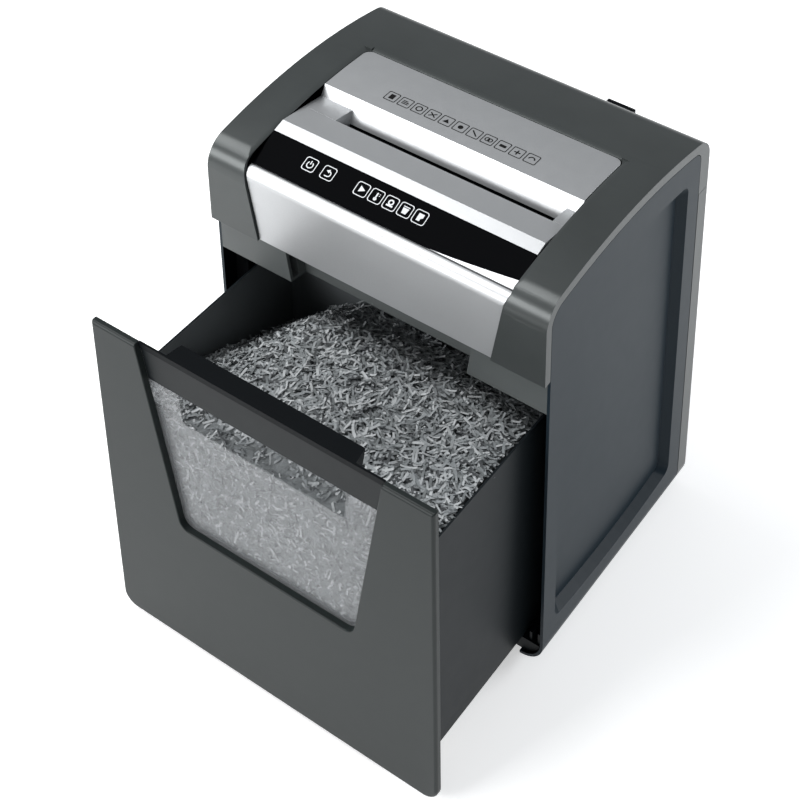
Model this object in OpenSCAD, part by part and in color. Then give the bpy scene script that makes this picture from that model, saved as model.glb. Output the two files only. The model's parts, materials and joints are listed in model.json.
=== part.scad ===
// Paper shredder with a pull-out waste drawer. Front is -Y, up is +Z, x = 0 is the mid plane.
// The floor is z = 0. The origin is the middle of the whole shredder's base, drawer included.

/* [Cabinet] */
// Width over the side panels
width = 366; // [360:1:380]
// Depth from the front arms to the rear face
depth = 275; // [275:1:290]
// Height of the panels' flat lower line above the floor
foot_h = 22; // [20:1:30]
// Height of the arched top above that line
body_h = 444.5; // [440:0.5:450]
// Radius of the arched top, seen from the side
arch_r = 606; // [590:1:640]
// Wall thickness of the mouldings
wall = 3; // [2.5:0.1:3.5]
// Radius of the cabinet's rounded lower edges
curl_r = 25; // [22:1:28]

/* [Head] */
// Height of the head's lower edge above the panels' lower edge
head_z = 347; // [345:0.5:349]
// Half width of the opening for the silver deck
opening_x = 143; // [141:0.5:145]
// Length of the paper entry
entry_w = 235.6; // [232:0.2:238]
// How far the paper entry lies to the right of the middle
entry_x = 12; // [8:0.5:12]
// Width of the seam between two mouldings
seam = 0.6; // [0.4:0.1:1]

/* [Cutting block] */
// Distance between the two cutter shafts
cutter_gap = 32; // [32:0.1:32.4]
// Radius over the cutter discs
disc_r = 19; // [18:0.1:19]
// Distance from one disc to the next
disc_pitch = 5; // [5:0.1:6]
// Number of discs on each shaft
disc_count = 45; // [20:1:45]

/* [Drawer] */
// How far the drawer stands open
drawer_open = 160; // [0:1:200]
// Depth of the waste bin
bin_depth = 240; // [230:1:241]
// Height of the bin's rim above the panels' lower edge
bin_rim = 274.6; // [260:0.1:280]
// Thickness of the drawer front
plate_t = 7.2; // [6:0.1:9]

/* [Hidden] */
$fn = 64;
eps = 0.01;

// Outline of the cabinet seen from the side: y back from the front face, z up from the panels
arch_y = 136;
arch_z = body_h - arch_r;
front_r = 28;
rear_r = 24;
rim = 8;
rear_rim = 16.5;
panel_x = width / 2 - wall;
pan_depth = 6;
pan_x = panel_x - pan_depth;
rear_joint_z = 372;

// Silver deck and entry, as points of its section
bevel_low = [47.8, 436.7];
bevel_top = [60.4, 440.3];
panel_low = [14.4, 422.6];
deck_rear = [90.6, 436.1];
crease = [122, 442.3];
slope_low = [108.4, 421.6];
lip_rear_y = 189.5;
cheek_rear = [115.6, 432.2];
entry_left = entry_x - entry_w / 2;
entry_right = entry_x + entry_w / 2;
fascia_y = 2.6;
fascia_r = 11;
skin = 2.5;
panel_t = 1.2;

// Cutting block
entry_y = 103;
cutter_z = 362;
front_shaft_y = entry_y - cutter_gap / 2;
rear_shaft_y = entry_y + cutter_gap / 2;
root_r = cutter_gap - disc_r - 0.4;
disc_t = disc_pitch / 2 - 0.25;
disc_len = disc_count * disc_pitch;
shaft_r = 8;
bush_r = 11;
fit = 0.05;
plate_x = 119;
frame_t = 4;

// Gears: [teeth, module]; both stages lie on the right, the synchronising pair on the left
sync_gear = [16, 2];
main_gear = [46, 1.5];
small_gear = [14, 1.5];
large_gear = [60, 1];
pinion = [12, 1];
pressure = 25;
motor_at = [198, 370];
motor_r = 36;
motor_x0 = 5;
motor_shaft_r = 4;
pin_r = 4;
first_x = 127;
first_t = 7;
second_x = 136;
second_t = 10;
sync_x = -136;
sync_t = 9;

// Drawer, in its own frame: y back from the rear face of the drawer front
shut_y = 8.2;
base_low = -15.5;
plate_top = 346;
window_low = 142;
window_top_x = 132;
window_low_x = 100.7;
block_d = 16.5;
scoop_z = 273.5;
band_z = 306;
bin_low = 4.8;
bin_x = 163;
hood_out = 4;
middle_y = (depth + hood_out + shut_y - drawer_open - plate_t) / 2;

function pitch_r(g) = g[0] * g[1] / 2;
function arc(c, r, a0, a1, n, first = 0) =
    [for (i = [first:n]) let (a = a0 + (a1 - a0) * i / n) c + r * [cos(a), sin(a)]];

// Side outline with a front plane, a rear plane, a distance below the arch and corner radii
function side_outline(yf, yr, top, rf, rr, zf, zr) =
    let (
        rt = arch_r - top,
        cf = [yf + rf, arch_z + sqrt(pow(rt - rf, 2) - pow(yf + rf - arch_y, 2))],
        cr = [yr - rr, arch_z + sqrt(pow(rt - rr, 2) - pow(yr - rr - arch_y, 2))],
        af = atan2(cf[1] - arch_z, cf[0] - arch_y),
        ar = atan2(cr[1] - arch_z, cr[0] - arch_y)
    )
    concat(
        [[yf, zf]],
        arc(cf, rf, 180, af, 16),
        arc([arch_y, arch_z], rt, af, ar, 20, 1),
        arc(cr, rr, ar, 0, 16, 1),
        [[yr, zr]]
    );

// Involute tooth flank: half angle of the tooth at radius r
function inv(a) = tan(a) - a * PI / 180;
function half_tooth(g, r) =
    let (rb = pitch_r(g) * cos(pressure), a = acos(min(1, rb / r)))
    (0.5 * PI / g[0] - 0.06 / pitch_r(g) + inv(pressure) - inv(a)) * 180 / PI;
function gear_points(g, phase) =
    let (
        rp = pitch_r(g),
        rb = rp * cos(pressure),
        ro = rp + 0.9 * g[1],
        ri = rp - 1.15 * g[1],
        rs = max(rb, ri),
        flank = [for (i = [0:4]) rs + (ro - rs) * i / 4]
    )
    [for (t = [0:g[0] - 1]) let (c = phase + 360 * t / g[0])
        each concat(
            [ri * [cos(c - half_tooth(g, rs)), sin(c - half_tooth(g, rs))]],
            [for (r = flank) r * [cos(c - half_tooth(g, r)), sin(c - half_tooth(g, r))]],
            [for (i = [4:-1:0]) let (r = flank[i])
                r * [cos(c + half_tooth(g, r)), sin(c + half_tooth(g, r))]],
            [ri * [cos(c + half_tooth(g, rs)), sin(c + half_tooth(g, rs))]]
        )];
// Phase of a driven gear so that its gap meets the driver's tooth along the line of centres
function frac(v) = v - floor(v);
function meshed(ga, phase, gb, dir) =
    dir + 180 - (0.5 - frac((dir - phase) * ga[0] / 360)) * 360 / gb[0];

// Where the intermediate gear's pin sits, from the two centre distances
rear_shaft_at = [rear_shaft_y, cutter_z];
span = norm(motor_at - rear_shaft_at);
d_main = pitch_r(main_gear) + pitch_r(small_gear) + 0.1;
d_motor = pitch_r(large_gear) + pitch_r(pinion) + 0.1;
along = (d_main * d_main - d_motor * d_motor + span * span) / (2 * span);
unit = (motor_at - rear_shaft_at) / span;
pin_at = rear_shaft_at + along * unit
    + sqrt(d_main * d_main - along * along) * [-unit[1], unit[0]];
function heading(a, b) = atan2(b[1] - a[1], b[0] - a[0]);
small_phase = meshed(main_gear, 0, small_gear, heading(rear_shaft_at, pin_at));
pinion_phase = meshed(large_gear, small_phase, pinion, heading(pin_at, motor_at));

// Frames: the cabinet's and the drawer's
module body_frame() {
    translate([0, -middle_y, foot_h]) children();
}
module drawer_frame() {
    translate([0, -middle_y + shut_y - drawer_open, foot_h]) children();
}
// Extrude a (y, z) outline along x, from x0 to x1
module across(x0, x1) {
    translate([x0, 0, 0]) rotate([90, 0, 90]) linear_extrude(x1 - x0) children();
}
// Extrude an (x, z) outline along y, from y0 to y1
module backward(y0, y1) {
    translate([0, y1, 0]) rotate([90, 0, 0]) linear_extrude(y1 - y0) children();
}
// Cylinder along x or y
module rod_x(x0, x1, at, r) {
    translate([x0, at[0], at[1]]) rotate([0, 90, 0]) cylinder(h = x1 - x0, r = r);
}
module rod_y(y0, y1, at, r) {
    translate([at[0], y0, at[1]]) rotate([-90, 0, 0]) cylinder(h = y1 - y0, r = r);
}
// Panel outline seen from the front, with two rounded lower corners
module round_foot(x1, r, low, top, inset) {
    a = x1 - inset;
    polygon(concat(
        arc([x1 - r, low + r], r - inset, 270, 360, 10),
        [[a, top - inset], [-a, top - inset]],
        arc([-x1 + r, low + r], r - inset, 180, 270, 10)
    ));
}
module box(a, b) {
    translate(a) cube(b - a);
}
module mirrored() {
    children();
    mirror([1, 0, 0]) children();
}

// Outer skins -------------------------------------------------------------------------------

module front_opening(grow) {
    // The drop at the front, seen from the front: narrow below, wide at the shoulders
    polygon([
        [-127.5 - grow, head_z - 1], [127.5 + grow, head_z - 1], [139.5 + grow, 413],
        [opening_x + grow, 424], [opening_x + grow, body_h + 5],
        [-opening_x - grow, body_h + 5], [-opening_x - grow, 424], [-139.5 - grow, 413]
    ]);
}

module plan_opening(y0, grow) {
    // The opening seen from above, with its two rounded rear corners
    r = 8;
    y1 = lip_rear_y + grow;
    x1 = opening_x + grow;
    polygon(concat(
        [[-x1, y0], [x1, y0]],
        arc([x1 - r, y1 - r], r, 0, 90, 8),
        arc([-x1 + r, y1 - r], r, 90, 180, 8)
    ));
}

module top_cover() {
    color([0.29, 0.31, 0.31]) body_frame() difference() {
        across(-width / 2, width / 2) difference() {
            polygon(concat(
                side_outline(0, depth, 0, front_r, rear_r, head_z, rear_joint_z),
                [[depth - rear_rim - 1, rear_joint_z]]
            ));
            polygon(side_outline(rim, depth - rear_rim, rim + 1.4, front_r - rim, 12,
                head_z - 5, rear_joint_z - 30));
        }
        across(-panel_x, panel_x)
            polygon(side_outline(wall, depth - wall, wall, front_r - wall, rear_r - wall,
                head_z - 5, rear_joint_z - 30));
        backward(-1, 30) front_opening(0);
        translate([0, 0, body_h - 60]) linear_extrude(80) plan_opening(14, 0);
        // Shallow bevel round the opening, turned about the arch's own axis
        intersection() {
            translate([0, arch_y, arch_z]) rotate([0, 90, 0]) rotate_extrude($fn = 180)
                polygon([
                    [arch_r - 2.2, -opening_x], [arch_r + 2, -opening_x - 9.6],
                    [arch_r + 2, opening_x + 9.6], [arch_r - 2.2, opening_x]
                ]);
            box([-160, -1, body_h - 60], [160, lip_rear_y, body_h + 5]);
        }
        across(-opening_x + 4, opening_x - 4)
            polygon([
                [lip_rear_y - 5, 439.5], [lip_rear_y, 439.8], [lip_rear_y + 7, 442.4],
                [lip_rear_y + 7, 446], [lip_rear_y - 5, 446]
            ]);
        box([72, depth - 14, 389], [102, depth + 5, 420.5]);
    }
}

module rear_cover() {
    boss = [for (s = [-1, 1], z = [30, 200, 350]) [s * 172, z]];
    color([0.27, 0.29, 0.29]) body_frame() difference() {
        union() {
            difference() {
                backward(depth - rear_rim + seam, depth)
                    round_foot(width / 2, curl_r, base_low, rear_joint_z - seam, 0);
                backward(depth - rear_rim - 1, depth - wall)
                    round_foot(width / 2, curl_r, base_low, rear_joint_z - seam, wall);
            }
            for (b = boss) rod_y(depth - rear_rim + seam, depth - wall + eps, b, 5);
        }
        for (b = boss) {
            rod_y(depth - 30, depth + 1, b, 2.05);
            rod_y(depth - 2.4, depth + 1, b, 4.2);
        }
        box([-131, depth - 5, 340], [-103, depth + 1, 361]);
    }
}

module rear_cover_screws() {
    color([0.25, 0.25, 0.26]) body_frame()
        for (s = [-1, 1], z = [30, 200, 350]) {
            rod_y(depth - 2.4, depth - 0.4, [s * 172, z], 3.9);
            rod_y(depth - 24, depth - 2.3, [s * 172, z], 2);
        }
}

module recess_2d(shrink) {
    // The dished field of a side panel: straight front and rear, gently bowed top and bottom
    offset(r = 10) offset(delta = -10 - shrink) intersection() {
        translate([28, 20]) square([209.5, 390]);
        translate([132.7, 24.5 + 850]) circle(r = 850, $fn = 360);
        translate([132.7, 405 - 790]) circle(r = 790, $fn = 360);
    }
}

module side_panel() {
    // Drawn for the right-hand side, outer face at x = width / 2; its lower edge curls under
    rear_y = depth - rear_rim - seam;
    curl_z = base_low + curl_r;
    curl_at = [width / 2 - curl_r, curl_z];
    difference() {
        union() {
            across(panel_x, width / 2)
                polygon(side_outline(rim + seam, rear_y, rim + 2, front_r - rim - seam,
                    12 - seam, curl_z, curl_z));
            backward(rim + seam, rear_y) polygon(concat(
                arc(curl_at, curl_r, 0, -90, 12),
                arc(curl_at, curl_r - wall, -90, 0, 12)
            ));
            hull() {
                across(panel_x - eps, panel_x + eps) recess_2d(-wall);
                across(pan_x - wall, pan_x) recess_2d(6 - wall + 1);
            }
            // Return flange that the rear cover is screwed to
            box([panel_x - 15, rear_y - wall, curl_z], [panel_x + eps, rear_y, 366]);
        }
        hull() {
            across(width / 2, width / 2 + eps) recess_2d(0);
            across(pan_x, pan_x + eps) recess_2d(6);
        }
        for (z = [30, 200, 350]) rod_y(rear_y - 10, rear_y + 5, [172, z], 2.05);
    }
}

module left_side_panel() {
    color([0.36, 0.39, 0.42]) body_frame() mirror([1, 0, 0]) side_panel();
}

module right_side_panel() {
    color([0.36, 0.39, 0.42]) body_frame() side_panel();
}

foot_at = [for (s = [-1, 1], y = [42, 236]) [s * 132, y]];
foot_low = foot_h + base_low;
tray_x = 177.2;

module base_tray() {
    // Floor of the cabinet, with end walls and screw bosses that reach down to the feet
    color([0.13, 0.14, 0.15]) body_frame() difference() {
        union() {
            box([-tray_x, 12, 0], [tray_x, depth - rear_rim - seam - wall, wall]);
            mirrored() box([tray_x - wall, 14, 0], [tray_x, 250, 16]);
            // Ribs that guide the bin's sides
            mirrored() box([bin_x + 2.5, 14, 0], [bin_x + 5, 248, 14]);
            box([-160, 250, 0], [160, 253, 40]);
            for (y = [12, 251]) intersection() {
                backward(y, y + wall) round_foot(width / 2, curl_r, base_low, 60, wall + 0.4);
                box([-200, y, base_low], [200, y + wall, eps]);
            }
            for (f = foot_at) translate([f[0], f[1], base_low]) cylinder(h = eps - base_low, r = 14);
        }
        for (f = foot_at) translate([f[0], f[1], base_low - 1]) cylinder(h = 16, r = 2.05);
    }
}

module feet() {
    color([0.1, 0.1, 0.11]) body_frame()
        for (f = foot_at) translate([f[0], f[1], -foot_h]) difference() {
            rotate_extrude()
                polygon([[0, 2], [14, 2], [16, 4], [16, foot_low], [0, foot_low]]);
            translate([0, 0, 1]) cylinder(h = 3.2, r = 4.6);
            cylinder(h = foot_h, r = 2.05);
        }
}

module foot_pads() {
    color([0.06, 0.06, 0.06]) body_frame()
        for (f = foot_at) translate([f[0], f[1], -foot_h]) rotate_extrude()
            polygon([[6, 0], [12.5, 0], [13.5, 1], [13.5, 2], [6, 2]]);
}

module foot_screws() {
    color([0.6, 0.6, 0.62]) body_frame()
        for (f = foot_at) translate([f[0], f[1], -foot_h]) {
            translate([0, 0, 2.1]) cylinder(h = 2, r = 4.2);
            translate([0, 0, 4]) cylinder(h = 15, r = 2);
        }
}

// Head --------------------------------------------------------------------------------------

module notch(grow) {
    // Pocket in the head's front that clears the drawer's handle block
    hull() {
        translate([0, 0, 306 - grow]) linear_extrude(eps)
            notch_plan(97.5 + grow, 27 + grow);
        translate([0, 0, head_z + 1]) linear_extrude(eps)
            notch_plan(104 + grow, 27 + grow);
    }
}
module notch_plan(x, y) {
    polygon([[-x, 8], [x, 8], [x - 3, y], [-x + 3, y]]);
}

module head_tray() {
    x1 = pan_x - wall - 0.5;
    low = 307;
    top = head_z - 0.2;
    color([0.3, 0.32, 0.33]) body_frame() difference() {
        union() {
            // Front band under the arms and the floor behind it
            box([-panel_x, rim + seam, low], [panel_x, 22, top]);
            box([-x1, 21, low], [x1, 252, low + wall]);
            mirrored() box([x1 - wall, 21, low], [x1, 252, top]);
            box([-x1, 249, low], [x1, 252, top]);
            intersection() {
                notch(wall);
                box([-130, 12, low], [130, 40, top]);
            }
            // Rails that carry the cutting block's side plates, and posts for the board
            for (s = [-1, 1]) box([s * 121 - 6, 62, low], [s * 121 + 6, 144, low + 11]);
            box([115, 143, low], [127, 240, low + 11]);
            for (x = [-144, -26], y = [166, 244])
                translate([x, y, low]) cylinder(h = 15, r = 3.5);
        }
        box([-panel_x + 3, 11.6, low + wall], [panel_x - 3, 19, top + 1]);
        box([-x1 + wall, 18, low + wall], [-112, 60, top + 1]);
        box([112, 18, low + wall], [x1 - wall, 60, top + 1]);
        notch(0);
        // Where the shreds fall through
        box([-112, 64, low - 1], [112, 143, low + wall + 1]);
        for (s = [-1, 1]) box([s * 121 - 2.05, 66, low + 5], [s * 121 + 2.05, 140, low + 12]);
        box([118.95, 139, low + 5], [123.05, 236, low + 12]);
    }
}

module front_fascia() {
    c = [fascia_y + fascia_r, 411];
    color([0.75, 0.76, 0.77]) body_frame() intersection() {
        across(-opening_x, opening_x) polygon(concat(
            [[fascia_y + skin, head_z], [fascia_y, head_z]],
            arc(c, fascia_r, 180, 92, 14),
            arc(c, fascia_r - skin, 92, 180, 14)
        ));
        backward(0, 30) front_opening(-0.8);
    }
}

// Front edge of the control panel seen from above: it bows back towards the right end
wedge_x = 51;
function panel_front(x) = panel_low[0] + (x > wedge_x ? 9 * pow((x - wedge_x) / 92, 1.3) : 0);

module panel_plan(grow) {
    x1 = opening_x - 0.8 + grow;
    polygon(concat(
        [[-x1, panel_low[0] - grow]],
        [for (i = [0:12]) let (x = wedge_x + (x1 - wedge_x) * i / 12) [x, panel_front(x) - grow]],
        [[x1, bevel_low[0]], [-x1, bevel_low[0]]]
    ));
}

module panel_slab(top, t) {
    // Sloping slab between the fascia and the bevel
    across(-opening_x + 0.8, opening_x - 0.8) polygon([
        panel_low - [0, top + t], bevel_low - [0, top + t], bevel_low - [0, top], panel_low - [0, top]
    ]);
}

module front_deck() {
    x1 = opening_x - 0.8;
    color([0.62, 0.63, 0.64]) body_frame() union() {
        panel_slab(panel_t, 1.6);
        difference() {
            panel_slab(0, panel_t + 0.4);
            translate([0, 0, 380]) linear_extrude(80) panel_plan(0.2);
        }
        across(-x1, x1) polygon([
            bevel_low + [-eps, -panel_t], bevel_low, bevel_top, deck_rear,
            deck_rear - [0, skin], bevel_top - [0, skin], bevel_low - [0.4, skin]
        ]);
    }
}

module control_panel() {
    color([0.03, 0.035, 0.04]) body_frame() intersection() {
        panel_slab(0, panel_t);
        translate([0, 0, 380]) linear_extrude(80) panel_plan(0);
    }
}

module rear_deck() {
    x1 = opening_x - 0.8;
    y1 = lip_rear_y - 0.8;
    top = [arch_y, arch_z];
    a0 = acos((crease[0] - arch_y) / (arch_r - 2.2));
    a1 = acos((y1 - arch_y) / (arch_r - 2.2));
    color([0.62, 0.63, 0.64]) body_frame() union() {
        intersection() {
            across(-x1, x1) polygon(concat(
                [slope_low],
                arc(top, arch_r - 2.2, a0, a1, 12),
                arc(top, arch_r - 2.2 - skin, a1, a0, 12),
                [slope_low + [2.4, -1]]
            ));
            translate([0, 0, 380]) linear_extrude(80) plan_opening(80, -0.8);
        }
        for (s = [-1, 1]) let (end = s < 0 ? entry_left : entry_right) intersection() {
            across(s < 0 ? -x1 : end - 5, s < 0 ? end + 5 : x1) polygon([
                deck_rear + [0.3, 0], cheek_rear, cheek_rear + [0.6, -12], deck_rear + [0.3, -16]
            ]);
            backward(80, 120) polygon([
                [s * x1, 440], [end, 440], [end, 436], [end - s * 4, 416], [s * x1, 416]
            ]);
        }
    }
}

module indicator_board() {
    color([0.1, 0.32, 0.18]) body_frame() panel_board(7);
}
module panel_board(drop) {
    intersection() {
        panel_slab(drop, 1.6);
        box([-115, 19, 390], [95, 43, 440]);
    }
}

module indicator_leds() {
    color([0.9, 0.9, 0.85]) body_frame()
        for (x = [-86, -65.4, -28, -12.2, 3.5, 19.2, 35])
            intersection() {
                panel_slab(4.2, 2.8);
                box([x - 2, 29, 390], [x + 2, 33, 440]);
            }
}

module throat_guide(gap) {
    // Runs the length of the entry and is stepped over the right side plate
    difference() {
        across(entry_left + gap, entry_right - gap) children();
        box([plate_x - 0.4, 80, 380], [entry_right + 1, 120, 411]);
    }
}

module front_throat_guide() {
    color([0.05, 0.05, 0.055]) body_frame() throat_guide(4.6)
        polygon([[90.7, 433.2], [92.6, 432.8], [101.2, 386], [99.2, 386]]);
}

module rear_throat_guide() {
    color([0.05, 0.05, 0.055]) body_frame() difference() {
        throat_guide(4.6) polygon([[109.2, 420.2], [111.4, 420.2], [108, 386], [105.8, 386]]);
        box([-4, 100, 388], [4, 120, 416]);
    }
}

// Cutting block -----------------------------------------------------------------------------

module frame_plate(y1) {
    // Steel side plate with its two bearing holes and three tie-bar holes
    across(-frame_t / 2, frame_t / 2) difference() {
        polygon([[66, 312], [y1, 312], [y1, 396], [y1 - 14, 410], [80, 410], [66, 396]]);
        for (y = [front_shaft_y, rear_shaft_y]) translate([y, cutter_z]) circle(r = bush_r);
        for (p = tie_at) translate(p) circle(r = 2.55);
    }
}
tie_at = [[72, 322], [134, 322], [128, 402]];

module left_frame_plate() {
    color([0.55, 0.56, 0.58]) body_frame() translate([-plate_x - 2, 0, 0]) frame_plate(140);
}

module right_frame_plate() {
    color([0.55, 0.56, 0.58]) body_frame() translate([plate_x + 2, 0, 0]) difference() {
        frame_plate(236);
        rod_x(-5, 5, motor_at, 9);
        rod_x(-5, 5, pin_at, pin_r);
    }
}

module frame_tie_bars() {
    color([0.7, 0.7, 0.72]) body_frame() for (p = tie_at) {
        rod_x(-plate_x, plate_x, p, 4);
        rod_x(-plate_x - frame_t - 1.6, plate_x + frame_t + 1.6, p, 2.55);
        rod_x(-plate_x - frame_t - 2.6, -plate_x - frame_t, p, 4);
        rod_x(plate_x + frame_t, plate_x + frame_t + 2.6, p, 4);
    }
}

module cutter_bushes() {
    color([0.72, 0.55, 0.28]) body_frame()
        for (s = [-1, 1], y = [front_shaft_y, rear_shaft_y])
            difference() {
                rod_x(s * 121 - 2, s * 121 + 2, [y, cutter_z], bush_r);
                rod_x(s * 121 - 3, s * 121 + 3, [y, cutter_z], shaft_r + fit);
            }
}

module cutter_shaft(y, x0, x1) {
    // Round ends that run in the bushes and a hexagonal middle that drives the discs
    at = [y, cutter_z];
    rod_x(x0, -disc_len / 2 - 1, at, shaft_r);
    translate([-disc_len / 2 - 1.5, y, cutter_z]) rotate([0, 90, 0])
        cylinder(h = disc_len + 3, r = shaft_r, $fn = 6);
    rod_x(disc_len / 2 + 1, x1, at, shaft_r);
}

module cutter_discs(y, shift) {
    // A row of toothed discs with spacer collars, bored with a hexagon
    half = disc_len / 2;
    section = [for (i = [0:disc_count - 1]) let (x = -half + disc_pitch * i + shift)
        each [[root_r, x], [disc_r, x], [disc_r, x + disc_t], [root_r, x + disc_t]]];
    translate([0, y, cutter_z]) rotate([0, 90, 0]) difference() {
        rotate_extrude()
            polygon(concat([[shaft_r - 2, -half]], section, [[shaft_r - 2, half]]));
        translate([0, 0, -half - 1]) cylinder(h = disc_len + 2, r = shaft_r, $fn = 6);
        for (a = [0:72:359]) rotate([0, 0, a]) translate([disc_r, 0, -half - 1])
            rotate([0, 0, 35]) linear_extrude(disc_len + 2) square([4, 4], center = true);
    }
}

module front_cutter_shaft() {
    color([0.5, 0.51, 0.53]) body_frame() cutter_shaft(front_shaft_y, -138, 125);
}
module rear_cutter_shaft() {
    color([0.5, 0.51, 0.53]) body_frame() cutter_shaft(rear_shaft_y, -138, 147);
}
module front_cutter_discs() {
    color([0.42, 0.43, 0.45]) body_frame() cutter_discs(front_shaft_y, 0.25 / 2);
}
module rear_cutter_discs() {
    color([0.42, 0.43, 0.45]) body_frame() cutter_discs(rear_shaft_y, 0.25 / 2 + disc_pitch / 2);
}

module stripper_comb(s, shift) {
    // Bar with one finger in each gap between discs, on the outer side of a shaft
    half = disc_len / 2;
    far = cutter_gap / 2 + disc_r + 1;
    translate([0, entry_y, cutter_z]) {
        for (i = [0:disc_count - 2]) {
            x = -half + disc_pitch * i + shift + disc_t + 0.3;
            across(x, x + disc_pitch - disc_t - 0.6) polygon([
                [s * (cutter_gap / 2 + root_r + 0.5), -8], [s * (far + eps), -11],
                [s * (far + eps), 11], [s * (cutter_gap / 2 + root_r + 0.5), 8]
            ]);
        }
        across(-plate_x, plate_x)
            polygon([[s * far, -13], [s * (far + 3), -13], [s * (far + 3), 13], [s * far, 13]]);
    }
}
module front_stripper_comb() {
    color([0.12, 0.12, 0.13]) body_frame() stripper_comb(-1, 0.25 / 2);
}
module rear_stripper_comb() {
    color([0.12, 0.12, 0.13]) body_frame() stripper_comb(1, 0.25 / 2 + disc_pitch / 2);
}

// Gears -------------------------------------------------------------------------------------

module gear(g, at, x0, t, phase, bore) {
    translate([0, at[0], at[1]]) across(x0, x0 + t) difference() {
        polygon(gear_points(g, phase));
        circle(r = bore);
    }
}

module front_sync_gear() {
    phase = meshed(sync_gear, 0, sync_gear, 180);
    color([0.78, 0.76, 0.7]) body_frame()
        gear(sync_gear, [front_shaft_y, cutter_z], sync_x, sync_t, phase, shaft_r);
}
module rear_sync_gear() {
    color([0.78, 0.76, 0.7]) body_frame()
        gear(sync_gear, rear_shaft_at, sync_x, sync_t, 0, shaft_r);
}
module main_drive_gear() {
    color([0.78, 0.76, 0.7]) body_frame()
        gear(main_gear, rear_shaft_at, second_x, second_t, 0, shaft_r);
}
module intermediate_gear() {
    color([0.78, 0.76, 0.7]) body_frame() union() {
        gear(large_gear, pin_at, first_x, first_t, small_phase, pin_r + fit);
        gear(small_gear, pin_at, first_x + first_t - eps, second_x + second_t - first_x - first_t,
            small_phase, pin_r + fit);
    }
}
module intermediate_pin() {
    color([0.7, 0.7, 0.72]) body_frame() rod_x(plate_x, second_x + second_t + 2, pin_at, pin_r);
}
module motor_pinion() {
    color([0.72, 0.55, 0.28]) body_frame()
        gear(pinion, motor_at, first_x, first_t, pinion_phase, motor_shaft_r);
}

module cover_shell(x0, x1, y0, y1, z0, z1, open_x) {
    difference() {
        box([x0, y0, z0], [x1, y1, z1]);
        box([open_x[0], y0 + 2, z0 + 2], [open_x[1], y1 - 2, z1 - 2]);
    }
}
module sync_gear_cover() {
    color([0.16, 0.17, 0.18]) body_frame()
        cover_shell(-143, -plate_x - frame_t, 66, 140, 336, 388, [-141, -plate_x]);
}
module gearbox_cover() {
    color([0.16, 0.17, 0.18]) body_frame()
        union() {
            cover_shell(plate_x + frame_t + 2.8, 152, 78, 214, 322, 408, [plate_x, 150]);
            for (p = [[82.4, 326.4], [82.4, 403.6], [209.6, 326.4], [209.6, 403.6]])
                rod_x(plate_x + frame_t, 151, p, 3);
        }
}

// Motor -------------------------------------------------------------------------------------

module motor_can() {
    color([0.6, 0.61, 0.62]) body_frame() difference() {
        rod_x(motor_x0 + 10, plate_x - 14, motor_at, motor_r);
        rod_x(motor_x0, plate_x, motor_at, motor_r - 2.5);
    }
}
module motor_end_bells() {
    color([0.35, 0.36, 0.37]) body_frame() difference() {
        union() {
            rod_x(motor_x0, motor_x0 + 10, motor_at, motor_r);
            rod_x(plate_x - 14, plate_x, motor_at, motor_r);
        }
        rod_x(motor_x0 - 5, plate_x + 5, motor_at, motor_shaft_r + fit);
        for (a = [30:60:359]) rotate_motor(a) rod_x(motor_x0 - 1, motor_x0 + 11, [20, 0], 6);
    }
}
module rotate_motor(a) {
    translate([0, motor_at[0], motor_at[1]]) rotate([a, 0, 0]) children();
}
module stator_core() {
    color([0.5, 0.34, 0.2]) body_frame() difference() {
        rod_x(motor_x0 + 18, plate_x - 20, motor_at, motor_r - 2.5);
        rod_x(motor_x0, plate_x, motor_at, motor_r - 11);
    }
}
module motor_rotor() {
    color([0.66, 0.66, 0.68]) body_frame() union() {
        rod_x(motor_x0 - 16, first_x + first_t + 1, motor_at, motor_shaft_r);
        rod_x(motor_x0 + 22, plate_x - 24, motor_at, motor_r - 12);
    }
}
module motor_fan() {
    color([0.14, 0.14, 0.15]) body_frame() difference() {
        union() {
            rod_x(motor_x0 - 14, motor_x0 - 4, motor_at, 8);
            rod_x(motor_x0 - 6, motor_x0 - 4, motor_at, 30);
            for (a = [0:45:359]) rotate_motor(a)
                box([motor_x0 - 14, 7, -1], [motor_x0 - 5, 30, 1]);
        }
        rod_x(motor_x0 - 20, motor_x0, motor_at, motor_shaft_r);
    }
}

// Electrics ---------------------------------------------------------------------------------

board_z = 322;

module circuit_board() {
    color([0.1, 0.32, 0.18]) body_frame() box([-150, 160, board_z], [-20, 248, board_z + 1.6]);
}
module board_components() {
    top = board_z + 1.6;
    color([0.16, 0.17, 0.2]) body_frame() {
        box([-146, 172, top], [-112, 206, top + 30]);
        for (x = [-98, -76]) translate([x, 176, top]) cylinder(h = 26, r = 8);
        box([-104, 204, top], [-86, 228, top + 15]);
        box([-80, 204, top], [-62, 228, top + 15]);
        for (y = [172:9:226]) box([-56, y, top], [-48, y + 5, top + 4]);
    }
}
module heat_sink() {
    top = board_z + 1.6;
    color([0.62, 0.63, 0.65]) body_frame() {
        box([-42, 168, top], [-39, 238, top + 34]);
        for (y = [168:10:238]) box([-39.1, y, top], [-26, y + 2, top + 34]);
    }
}
module power_inlet() {
    // Appliance inlet with its three blades; a lead would plug in here
    color([0.05, 0.05, 0.055]) body_frame() {
        difference() {
            union() {
                box([-130.6, 254, 340.4], [-103.4, depth + 0.5, 360.6]);
                box([-134, depth, 338], [-100, depth + 1.5, 363]);
            }
            box([-127.5, 259, 343], [-106.5, depth + 3, 358]);
        }
        for (p = [[-123, 349], [-117, 353], [-111, 349]])
            box([p[0] - 1, 258, p[1] - 2], [p[0] + 1, 270, p[1] + 2]);
    }
}
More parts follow.
